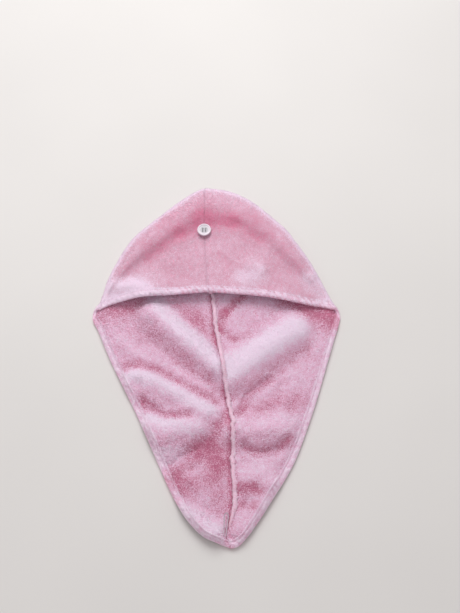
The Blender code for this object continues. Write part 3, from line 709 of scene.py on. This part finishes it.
def point_values(made, name, values):
    """Store one number for each vertex under a name that materials can read."""
    attribute = made.data.attributes.new(name, "FLOAT", "POINT")
    attribute.data.foreach_set("value", np.asarray(values, np.float32).ravel())


def grid_faces(rows, columns, start=0):
    """The four-sided faces of a grid of points."""
    index = start + np.arange(rows * columns).reshape(rows, columns)
    quads = [index[:-1, :-1], index[:-1, 1:], index[1:, 1:], index[1:, :-1]]
    return np.stack([quad.ravel() for quad in quads], axis=-1)


def rim_faces(rows, columns):
    """The faces that close two grids of the same size along their four sides."""
    index = np.arange(rows * columns).reshape(rows, columns)
    around = np.concatenate([index[0, :-1], index[:-1, -1], index[-1, :0:-1], index[:0:-1, 0]])
    following = np.roll(around, -1)
    other = rows * columns
    return np.stack([following, around, around + other, following + other], axis=-1)


def make_panel(name, grid, outer, inner, shade_and_tone, side, materials):
    """One panel as a closed sheet between its outer and inner face."""
    rows, columns = outer.shape[:2]
    vertices = np.concatenate([outer.reshape(-1, 3), inner.reshape(-1, 3)])
    outer_faces = grid_faces(rows, columns)
    inner_faces = grid_faces(rows, columns, rows * columns)[:, ::-1]
    rims = rim_faces(rows, columns)
    faces = np.concatenate([outer_faces, inner_faces, rims])
    cell_edge = grid.edge[:-1, :-1].ravel()
    cell_zone = grid.zone[:-1, :-1].ravel()
    outer_slots = np.where((cell_edge < STITCH_LINE) & (cell_zone > BACK), 2, 1)
    inner_slots = np.where(cell_edge < HEM_WIDTH, 2, 0)
    slots = np.concatenate([outer_slots, inner_slots, np.full(len(rims), 2)])
    if side == LEFT:
        faces = faces[:, ::-1]
    panel = mesh_object(name, vertices, faces, materials, slots)
    point_values(panel, "shade_and_tone", np.concatenate([shade_and_tone.ravel(), shade_and_tone.ravel()]))
    return panel


def pile_loops(name, face, normals, shade_and_tone, chosen, pile, turn, material):
    """Small upright ribbons of yarn on a face, spread evenly over its chosen cells."""
    generator = np.random.default_rng(pile.seed + turn)
    corner = face[:-1, :-1]
    along = face[1:, :-1] - corner
    across = face[:-1, 1:] - corner
    area = sizes_of(np.cross(along, across)) * chosen[:-1, :-1]
    heaped = np.cumsum(area.ravel())
    count = int(heaped[-1] / pile.pitch**2)
    picks = np.searchsorted(heaped, (np.arange(count) + 0.5) * pile.pitch**2)
    picks = np.minimum(picks, len(heaped) - 1)
    u, v = generator.random((2, count, 1))
    place = corner.reshape(-1, 3)[picks] + u * along.reshape(-1, 3)[picks] + v * across.reshape(-1, 3)[picks]
    normal = normals[:-1, :-1].reshape(-1, 3)[picks]
    lean = generator.normal(0.0, LOOP_LEAN, (count, 3))
    up = unit(normal + lean)
    reach = unit(np.cross(up, generator.normal(0.0, 1.0, (count, 3))))
    ribbon = np.cross(up, reach) * pile.size * LOOP_YARN
    scale = generator.uniform(0.7, 1.25, (count, 1))
    half = reach * pile.size / 2 * scale
    top = up * pile.height * scale
    sunk = normal * pile.height * LOOP_ROOT
    line = [place - half - sunk, place - half * 1.05 + top * 0.75]
    line += [place + half * 0.55 + top, place + half - sunk]
    # how high each point of a loop stands, which its material turns into painted shade low down and painted
    # highlight up top
    tips = (0.0, 0.75, 1.0, 0.1)
    vertices = np.stack([point + way * ribbon for point in line for way in (-1, 1)], axis=1)
    steps = np.array([(2 * k, 2 * k + 1, 2 * k + 3, 2 * k + 2) for k in range(len(line) - 1)])
    faces = (np.arange(count)[:, None, None] * (2 * len(line)) + steps[None]).reshape(-1, 4)
    made = mesh_object(name, vertices.reshape(-1, 3), faces, [material])
    point_values(made, "tip", np.tile(np.repeat(tips, 2), count))
    point_values(made, "tone", np.repeat(generator.random(count), 2 * len(line)))
    point_values(made, "shade_and_tone", np.repeat(shade_and_tone[:-1, :-1].ravel()[picks], 2 * len(line)))
    return made


def tube_mesh(lines, radius, sides):
    """Vertices and faces of closed tubes that run along the given lines of points."""
    vertices, faces = [], []
    start = 0
    angles = 2 * math.pi * np.arange(sides) / sides
    for line in lines:
        line = np.asarray(line)
        count = len(line)
        tangent = unit(np.gradient(line, axis=0))
        beside = unit(np.cross(tangent, UP + 1e-3))
        above = np.cross(beside, tangent)
        taper = np.ones(count)
        taper[0] = taper[-1] = THREAD_TIP
        ring = np.cos(angles)[:, None] * beside[:, None] + np.sin(angles)[:, None] * above[:, None]
        vertices.append((line[:, None] + ring * (radius * taper)[:, None, None]).reshape(-1, 3))
        for step in range(count - 1):
            low = start + step * sides
            for k in range(sides):
                after = (k + 1) % sides
                faces.append((low + k, low + after, low + sides + after, low + sides + k))
        faces.append(tuple(start + k for k in range(sides))[::-1])
        faces.append(tuple(start + (count - 1) * sides + k for k in range(sides)))
        start += count * sides
    return np.concatenate(vertices), faces


def tubes(name, lines, radius, sides, material):
    """One object of closed tubes."""
    vertices, faces = tube_mesh(lines, radius, sides)
    return mesh_object(name, vertices, faces, [material])


def stitches_along(points, normals, pitch, length, sink):
    """Short stitch lines spaced along a line of points, dipping into the cloth at their ends."""
    lengths = run_lengths(points)
    lines = []
    for start in np.arange(pitch, lengths[-1] - pitch, pitch):
        where = start + length * np.array((0.0, 0.25, 0.5, 0.75, 1.0))
        depth = np.array((-1.0, 0.3, 0.6, 0.3, -1.0)) * sink
        lines.append(read_off(where, lengths, points) + read_off(where, lengths, normals) * depth[:, None])
    return lines


SHADE_AND_TONE_TINT = 0.60  # how far painted shade, highlight and tone move the colour along its ramp


class Shade:
    """A short way to build one node material; sockets are named with underscores for spaces."""

    def __init__(self, name):
        self.material = bpy.data.materials.new(name)
        self.material.use_nodes = True
        self.tree = self.material.node_tree
        self.shader = self.tree.nodes["Principled BSDF"]
        self.coords = self.add("ShaderNodeTexCoord").outputs["Object"]

    def fill(self, socket, value):
        """Link a socket to another one, or give it a value."""
        if isinstance(value, bpy.types.NodeSocket):
            self.tree.links.new(value, socket)
        else:
            socket.default_value = value

    def add(self, kind, **settings):
        """A node with its settings and inputs."""
        made = self.tree.nodes.new(kind)
        for key, value in settings.items():
            socket = made.inputs.get(key.replace("_", " "))
            if socket is None:
                setattr(made, key, value)
            else:
                self.fill(socket, value)
        return made

    def noise(self, size, detail=2.0, roughness=0.55):
        """Soft noise with lumps of a size in metres."""
        made = self.add("ShaderNodeTexNoise", Scale=1 / size, Detail=detail, Roughness=roughness)
        self.fill(made.inputs["Vector"], self.coords)
        return made.outputs["Fac"]

    def cells(self, size):
        """The distance from the middles of cells of a size in metres, as a share of it."""
        return self.add("ShaderNodeTexVoronoi", Scale=1 / size, Vector=self.coords).outputs["Distance"]

    def math(self, operation, first, second, kind="ShaderNodeMath"):
        """One step of arithmetic on two values or sockets."""
        made = self.add(kind, operation=operation)
        for socket, value in zip(made.inputs, (first, second)):
            self.fill(socket, value)
        return made.outputs[0]

    def blend(self, *parts, start=None):
        """The sum of values, each times its weight, on top of a start."""
        total = start
        for value, weight in parts:
            part = self.math("MULTIPLY", value, weight)
            total = part if total is None else self.math("ADD", total, part)
        return total

    def attribute(self, name):
        """A value that the mesh's vertices carry."""
        return self.add("ShaderNodeAttribute", attribute_name=name).outputs["Fac"]

    def ramp(self, value, places, colours):
        """A colour between the given ones at their places."""
        made = self.add("ShaderNodeValToRGB", Fac=value)
        elements = made.color_ramp.elements
        while len(elements) < len(places):
            elements.new(0.5)
        for element, place, colour in zip(elements, places, colours):
            element.position = place
            element.color = (*colour, 1.0)
        return made.outputs["Color"]

    def bump(self, height, distance):
        """Relief of a depth in metres."""
        made = self.add("ShaderNodeBump", Distance=distance, Height=height)
        self.tree.links.new(made.outputs["Normal"], self.shader.inputs["Normal"])

    def set(self, **settings):
        """Set the shader's own sockets."""
        for key, value in settings.items():
            self.fill(self.shader.inputs[key.replace("_", " ")], value)


def with_painted_shade(shade, tone):
    """A tone moved by the painted shade, highlight and tone that the mesh carries."""
    moved = shade.blend((shade.attribute("shade_and_tone"), SHADE_AND_TONE_TINT), start=tone)
    return shade.math("SUBTRACT", moved, SHADE_AND_TONE_TINT / 2)


def set_cotton(shade, tone, places, colours):
    """Matt yarn with a soft sheen, in three colours along its tone."""
    shade.set(
        Base_Color=shade.ramp(tone, places, colours),
        Roughness=0.95,
        Specular_IOR_Level=0.15,
        Sheen_Weight=0.75,
        Sheen_Roughness=0.45,
        Sheen_Tint=(1.0, 0.86, 0.92, 1.0),
    )


def terry_material(name, colours, loop, clump, relief, has_painted_shade=True):
    """Looped terry: painted shade between its loops and painted highlight on their tops, with soft patches
    of colour.
    """
    shade = Shade(name)
    tops = shade.math("SUBTRACT", 1.0, shade.cells(loop))
    fibres = shade.noise(loop * 0.35, 2.0, 0.7)
    mixed = shade.blend((shade.noise(clump, 3.0, 0.6), 0.36), (tops, 0.20), (fibres, 0.10))
    toned = shade.blend((shade.noise(clump * 5, 2.0), 0.12), start=mixed)
    set_cotton(shade, with_painted_shade(shade, toned) if has_painted_shade else toned, (0.14, 0.42, 0.70), colours)
    shade.bump(mixed, relief)
    return shade.material


def pile_material(name, colours):
    """Yarn of the pile's loops: painted shade near the cloth and painted highlight at the top."""
    shade = Shade(name)
    clumps = shade.noise(0.006, 2.0)
    mixed = shade.blend((shade.attribute("tip"), 0.22), (shade.attribute("tone"), 0.22), (clumps, 0.36))
    set_cotton(shade, with_painted_shade(shade, mixed), (0.10, 0.40, 0.70), colours)
    shade.bump(shade.noise(0.0004, 2.0), 0.0002)
    return shade.material


def thread_material(name, colours, twist):
    """Twisted thread or cord."""
    shade = Shade(name)
    plies = shade.noise(twist, 3.0, 0.6)
    shade.set(
        Base_Color=shade.ramp(plies, (0.30, 0.72), colours),
        Roughness=0.80,
        Specular_IOR_Level=0.25,
        Sheen_Weight=0.20,
    )
    shade.bump(plies, twist * 0.5)
    return shade.material


def plastic_material(name, colours, middle, dish_radius):
    """Satin plastic with faint clouds and fine wear, and painted shade that makes it greyer in its dish than
    on its rim.
    """
    shade = Shade(name)
    clouds = shade.noise(0.009, 3.0)
    wear = shade.noise(0.0012, 4.0, 0.7)
    away = shade.math("SUBTRACT", shade.coords, middle, "ShaderNodeVectorMath")
    flat = shade.math("MULTIPLY", away, (1.0, 1.0, 0.0), "ShaderNodeVectorMath")
    distance = shade.add("ShaderNodeVectorMath", operation="LENGTH")
    shade.fill(distance.inputs[0], flat)
    # Painted shade: darker towards the middle of the dish
    outward = shade.math("DIVIDE", distance.outputs["Value"], dish_radius * 2)
    clouded = shade.blend((shade.math("SUBTRACT", clouds, 0.5), 0.10), start=outward)
    shade.set(
        Base_Color=shade.ramp(clouded, (0.44, 0.56), colours),
        Roughness=shade.add("ShaderNodeMapRange", Value=wear, To_Min=0.28, To_Max=0.46).outputs["Result"],
        Coat_Weight=0.25,
        Coat_Roughness=0.20,
    )
    shade.bump(wear, 0.00005)
    return shade.material


def floor_material():
    """A plain pale matt floor."""
    shade = Shade("pale_floor")
    clouds = shade.noise(0.35, 2.0)
    darker = tuple(channel * 0.96 for channel in FLOOR_PALE)
    shade.set(Base_Color=shade.ramp(clouds, (0.3, 0.7), (darker, FLOOR_PALE)), Roughness=0.75)
    return shade.material


def make_seam_allowance(grid, inner, materials):
    """The overlocked edges of both panels, lying over to the right along the whole seam."""
    rows = np.where((grid.plan[:, -1, 1] > SEAM_START_RISE * TAIL_LENGTH) | (grid.zone[:, -1] > BACK))[0]
    line = inner[rows, -1]
    normal = -grid.outward[rows, -1]
    across = inner[rows, -len(SEAM_MARKS)] - line
    across = unit(across - normal * np.sum(across * normal, axis=-1, keepdims=True))
    run = run_lengths(line)
    spot = np.stack([run * 0, run * 0, run], axis=-1)
    wave = cloth_noise(spot, 0.011, 3.0)
    scallop = np.sin(2 * math.pi * run / (2 * OVERLOCK_PITCH))
    tapered = SEAM_END + (1 - SEAM_END) * smooth_step(run / SEAM_TAPER)
    width = (SEAM_WIDTH * (0.64 + 0.20 * wave) + 0.0006 * scallop) * tapered
    height = SEAM_THICKNESS * (0.95 + 0.30 * cloth_noise(spot, 0.007, 9.0)) * tapered
    lean = -0.0004 + 0.0022 * cloth_noise(spot, 0.030, 15.0) + 0.0024 * cloth_noise(spot, 0.0065, 17.0)
    profile = [(-0.04, 0.05), (-0.08, 0.45), (0.02, 0.88), (0.22, 1.06), (0.50, 0.98), (0.78, 0.90)]
    profile += [(0.97, 0.66), (1.03, 0.36), (0.95, 0.10), (0.45, 0.06)]
    rings = []
    for share, level in profile:
        rings.append(line + across * (lean + width * share)[:, None] + normal * (height * level)[:, None])
    rings = np.stack(rings, axis=1)
    count, sides = rings.shape[:2]
    rough = 0.00070 * cloth_noise(rings, 0.0046, 21.0)
    rings = rings + normal[:, None] * rough[..., None]
    faces = []
    index = np.arange(count * sides).reshape(count, sides)
    for k in range(sides):
        after = (k + 1) % sides
        faces.append(np.stack([index[:-1, k], index[1:, k], index[1:, after], index[:-1, after]], axis=-1))
    all_faces = [tuple(face) for face in np.concatenate(faces).tolist()]
    all_faces.append(tuple(index[0].tolist()))
    all_faces.append(tuple(index[-1, ::-1].tolist()))
    made = mesh_object("seam_allowance_terry", rings.reshape(-1, 3), all_faces, [materials["seam"]])

    lines = []
    seen = run[np.where(grid.zone[rows, -1] == BACK)[0][-1]] * 0.80
    for start in np.arange(0.001, seen, OVERLOCK_PITCH):
        slant = np.array([-0.04, -0.06, 0.15, 0.5, 0.85, 1.04, 1.0])
        level = np.array([0.10, 0.60, 1.08, 1.10, 1.00, 0.62, 0.20])
        where = start + OVERLOCK_PITCH * 0.9 * np.clip(slant, 0.0, 1.0)
        reach = np.interp(where, run, lean) + np.interp(where, run, width) * slant
        rise = np.interp(where, run, height) * level + OVERLOCK_CLEAR
        beside = read_off(where, run, across) * reach[:, None]
        lines.append(read_off(where, run, line) + beside + read_off(where, run, normal) * rise[:, None])
    threads = tubes("overlock_threads", lines, OVERLOCK_DIAMETER / 2, TUBE_SIDES, materials["overlock"])
    top = rings[:, :8]
    level = 0.55 + 0.45 * cloth_noise(top, 0.0080, 61.0) - 0.7 * (1 - smooth_step(run / SEAM_TAPER))[:, None]
    yarn = pile_loops(
        "seam_pile", top, -grid_normals(top), level, np.ones(level.shape, bool), SEAM_PILE, 0,
        materials["seam_pile"],
    )
    return made, threads, yarn


def highest_at(spots, faces):
    """The height of the surfaces' nearest points to plan spots, in the row's frame."""
    points = np.concatenate([face.reshape(-1, 3) for face in faces])
    heights = []
    for spot in spots:
        near = sizes_of(points[:, :2] - spot) < LOOP_DIAMETER * 1.2
        heights.append(points[near, 2].max())
    return np.array(heights)


def make_loop(faces, material):
    """The thin cord loop at the tip, lying on the cloth with both ends at the hem."""
    route = smooth_curve(LOOP_ROUTE)
    tip = np.array(plan_points(TAIL_SEAM[:1], TAIL_LENGTH)[0]) + np.array((0.0, MIDDLE_SHIFT))
    steps = CORD_STEPS
    spots = route(np.linspace(0.0, 1.0, steps + 1)) + tip
    heights = highest_at(spots, faces)
    wide = np.array([heights[max(0, k - 1):k + 2].max() for k in range(steps + 1)])
    smooth = np.array([wide[max(0, k - 2):k + 3].mean() for k in range(steps + 1)])
    points = lifted(spots, smooth + LOOP_DIAMETER / 2)
    curve = bpy.data.curves.new("button_loop_cord", "CURVE")
    curve.dimensions = "3D"
    curve.bevel_depth = LOOP_DIAMETER / 2
    curve.bevel_resolution = 3
    curve.use_fill_caps = True
    spline = curve.splines.new("POLY")
    spline.points.add(steps)
    for point, place in zip(spline.points, points):
        point.co = (*place, 1.0)
    curve.materials.append(material)
    loop = bpy.data.objects.new("button_loop_cord", curve)
    bpy.context.scene.collection.objects.link(loop)
    length = float(np.sum(sizes_of(np.diff(points, axis=0))))
    return loop, points, length


FLOOR_SIZE = 6.0
WORLD_COLOUR = (1.0, 0.97, 0.98, 1.0)
WORLD_STRENGTH = 0.52
Light = namedtuple("Light", "name size power place")
LIGHTS = [
    Light("window", 1.2, 28.5, (-0.15, 1.25, 1.55)),
    Light("fill", 2.0, 4.0, (-0.9, -1.1, 1.8)),
]
CAMERA_PLACE = (0.01975, -0.5101, 1.2081)
CAMERA_TILT = 25.92
CAMERA_LENS = 54.03


def make_floor():
    """A plain pale floor."""
    half = FLOOR_SIZE / 2
    corners = np.array([(-half, -half, 0), (half, -half, 0), (half, half, 0), (-half, half, 0)], float)
    floor = mesh_object("floor", corners, np.array([[0, 1, 2, 3]]), [floor_material()])


def make_lights():
    """Soft light from beyond the crown, a wide fill and a pale world."""
    world = bpy.data.worlds.new("pale_room")
    world.use_nodes = True
    background = world.node_tree.nodes["Background"]
    background.inputs["Color"].default_value = WORLD_COLOUR
    background.inputs["Strength"].default_value = WORLD_STRENGTH
    bpy.context.scene.world = world
    bpy.context.scene.view_settings.view_transform = "Standard"
    for row in LIGHTS:
        light = bpy.data.lights.new(row.name, "AREA")
        light.shape = "SQUARE"
        light.size = row.size
        light.energy = row.power
        holder = bpy.data.objects.new(row.name, light)
        holder.location = row.place
        holder.rotation_euler = (-Vector(row.place)).to_track_quat("-Z", "Y").to_euler()
        bpy.context.scene.collection.objects.link(holder)


def make_camera():
    """The camera at the photograph's place and angle."""
    camera = bpy.data.cameras.new("camera")
    camera.lens = CAMERA_LENS
    holder = bpy.data.objects.new("camera", camera)
    holder.location = CAMERA_PLACE
    holder.rotation_euler = (math.radians(CAMERA_TILT), 0.0, 0.0)
    bpy.context.scene.collection.objects.link(holder)
    bpy.context.scene.camera = holder


def make_materials():
    """Every piece's material by a short name."""
    middle = (seam_across(BUTTON_RISE), BUTTON_RISE + MIDDLE_SHIFT, 0.0)
    inside_loop = INSIDE_PILE.size * LOOP_PATTERN
    outside_loop = OUTSIDE_PILE.size * LOOP_PATTERN
    return {
        "inside": terry_material("terry_inside", INSIDE_COLOURS, inside_loop, 0.0042, 0.0011),
        "outside": terry_material("terry_outside", OUTSIDE_COLOURS, outside_loop, 0.0036, 0.0006),
        "hem": terry_material("terry_hem", HEM_COLOURS, outside_loop, 0.0032, 0.0006),
        "inside_pile": pile_material("pile_inside", INSIDE_COLOURS),
        "outside_pile": pile_material("pile_outside", OUTSIDE_COLOURS),
        "hem_pile": pile_material("pile_hem", HEM_COLOURS),
        "seam": terry_material("seam_terry", SEAM_COLOURS, 0.0011, 0.003, 0.0007, False),
        "seam_pile": pile_material("pile_seam", SEAM_COLOURS),
        "overlock": thread_material("overlock_thread", OVERLOCK_COLOURS, 0.0008),
        "stitch": thread_material("hem_thread", HEM_STITCH_COLOURS, 0.0007),
        "seam_stitch": thread_material("seam_thread", SEAM_STITCH_COLOURS, 0.0007),
        "thread": thread_material("button_thread", THREAD_COLOURS, 0.0006),
        "loop": thread_material("loop_cord", LOOP_COLOURS, 0.0007),
        "button": plastic_material("button_plastic", BUTTON_SHADED_DISH_COLOURS, middle, DISH_RADIUS),
    }


HEM_TOP = HEM_WIDTH + 0.0006  # where the inside's own pile starts
HEM_RIM = 0.0006  # where the hem's pile starts
SEEN_RISE = HEM_LIFT * 1.6  # how far up the back layer can be seen in the pocket's mouth
SEEN_BEND = -0.3  # how far round the crown's fold there is pile


def panel_trims(word, side, grid, outer, inner, shade_and_tone, materials):
    """The pile and the stitches of one panel."""
    inner_normals = grid_normals(inner) * side
    outer_normals = grid_normals(outer) * -side
    on_back = grid.zone == BACK
    in_sight = on_back & (grid.plan[..., 1] < SEEN_RISE) & (grid.edge > HEM_TOP)
    on_top = (grid.zone == FLAP) | ((grid.zone == FOLD) & (grid.outward[..., 2] > SEEN_BEND))
    on_hem = on_back & (grid.edge <= HEM_TOP) & (grid.edge > HEM_RIM)
    trims = []
    for kind, face, normals, chosen, pile in (
        ("inside", inner, inner_normals, in_sight, INSIDE_PILE),
        ("outside", outer, outer_normals, on_top, OUTSIDE_PILE),
        ("hem", inner, inner_normals, on_hem, HEM_PILE),
    ):
        name = f"{word}_pile_{kind}"
        trims.append(pile_loops(name, face, normals, shade_and_tone, chosen, pile, side, materials[f"{kind}_pile"]))

    mark = HEM_MARKS.index(STITCH_LINE)
    side_rows = np.where(grid.zone[:, 0] == BACK)[0][mark:]
    hem_row = len(outer) - 1 - mark
    hem_sink = STITCH_DIAMETER * 0.7
    lines = []
    for face, normals, place in (
        (inner, inner_normals, (side_rows, mark)),
        (inner, inner_normals, (mark, slice(mark, None))),
        (outer, outer_normals, (hem_row, slice(mark, None))),
    ):
        lines += stitches_along(face[place], normals[place], STITCH_PITCH, STITCH_LENGTH, hem_sink)
    trims.append(tubes(f"{word}_hem_stitches", lines, STITCH_DIAMETER / 2, TUBE_SIDES, materials["stitch"]))
    place = (np.where(grid.zone[:, -1] == FLAP)[0], 3 - len(SEAM_MARKS))
    seam_sink = STITCH_DIAMETER * 0.2
    line, out = outer[place], outer_normals[place]
    lines = stitches_along(line, out, SEAM_STITCH_PITCH, SEAM_STITCH_LENGTH, seam_sink)
    look = materials["seam_stitch"]
    trims.append(tubes(f"{word}_seam_stitches", lines, STITCH_DIAMETER / 2, TUBE_SIDES, look))
    return trims


def dress_panel(side, materials):
    """One panel with its pile and stitches, the right one with the seam's allowance too; its inner face."""
    word = SIDE_NAMES[side]
    grid = panel_grid(side)
    outer, inner, shade_and_tone = wall_faces(grid, side)
    looks = [materials["inside"], materials["outside"], materials["hem"]]
    panel = make_panel(f"{word}_terry", grid, outer, inner, shade_and_tone, side, looks)
    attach(panel, "root")
    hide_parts(f"{word}_panel")
    trims = panel_trims(word, side, grid, outer, inner, shade_and_tone, materials)
    for trim in trims:
        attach(trim, "root")
    if side == RIGHT:
        seam, threads, yarn = make_seam_allowance(grid, inner, materials)
        for piece in (seam, threads, yarn):
            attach(piece, "root")
        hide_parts("seam_allowance")
    return inner


def main():
    """Make every piece and light it."""
    make_camera()
    make_lights()
    make_floor()
    materials = make_materials()
    inner_faces = [dress_panel(side, materials) for side in (LEFT, RIGHT)]
    loop, points, length = make_loop(inner_faces, materials["loop"])
    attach(loop, "root")
    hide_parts("button_loop")
    print(f"loop: {length:.4f} metres")
    for node, look in (("button", "button"), ("button_thread", "thread")):
        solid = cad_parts[node]
        solid.data.materials.clear()
        solid.data.materials.append(materials[look])


main()
